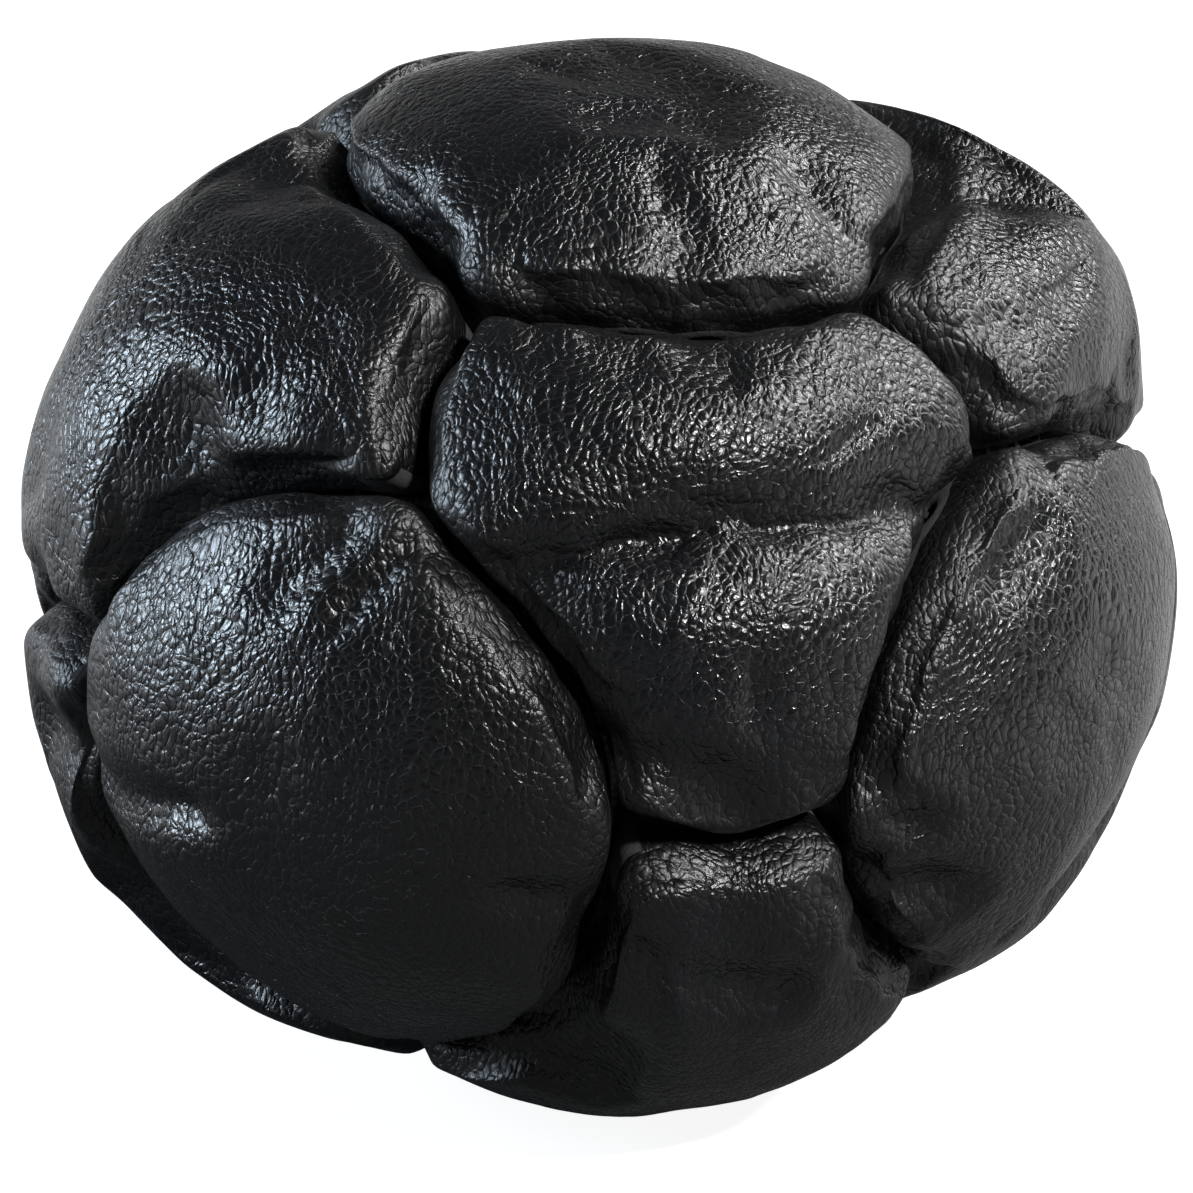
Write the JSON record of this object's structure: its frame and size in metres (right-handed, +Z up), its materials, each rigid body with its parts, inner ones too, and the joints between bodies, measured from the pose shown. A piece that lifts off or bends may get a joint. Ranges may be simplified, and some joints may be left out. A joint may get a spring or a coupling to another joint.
{
  "type": "footbag",
  "caption": "Small round kicking bag of crowned leather panels with deep turned-in seams, soft and plump, slightly flat where it rests.",
  "frame": {"origin": "centre of the ball's outline seen from above, on the surface it rests on", "axes": "+Z up, the flattest way through the ball; +X to the right seen from the front, the widest way; the front faces -Y"},
  "size_m": [0.0582, 0.0569, 0.053],
  "materials": {
    "leather": "black pebble-grained leather, semi-gloss",
    "thread": "waxed black sewing thread",
    "bag_cloth": "undyed plain-woven cotton",
    "sand": "dry fine sand, matt"
  },
  "bodies": {
    "root": {"panel_top": "leather", "panel_front_left": "leather", "panel_front_right": "leather", "panel_back_right": "leather", "panel_back_left": "leather", "panel_front_upper": "leather", "panel_front_lower": "leather", "panel_right_upper": "leather", "panel_right_lower": "leather", "panel_back_upper": "leather", "panel_back_lower": "leather", "panel_left_upper": "leather", "panel_left_lower": "leather", "panel_bottom": "leather", "thread_round_top": "thread", "thread_round_front_left": "thread", "thread_round_front_right": "thread", "thread_round_back_right": "thread", "thread_round_back_left": "thread", "thread_round_bottom": "thread", "thread_front_upper_side": "thread", "thread_front_waist": "thread", "thread_front_lower_side": "thread", "thread_right_upper_side": "thread", "thread_right_waist": "thread", "thread_right_lower_side": "thread", "thread_back_upper_side": "thread", "thread_back_waist": "thread", "thread_back_lower_side": "thread", "thread_left_upper_side": "thread", "thread_left_waist": "thread", "thread_left_lower_side": "thread", "inner_bag": "bag_cloth", "sand_fill": "sand"}
  },
  "joints": []
}
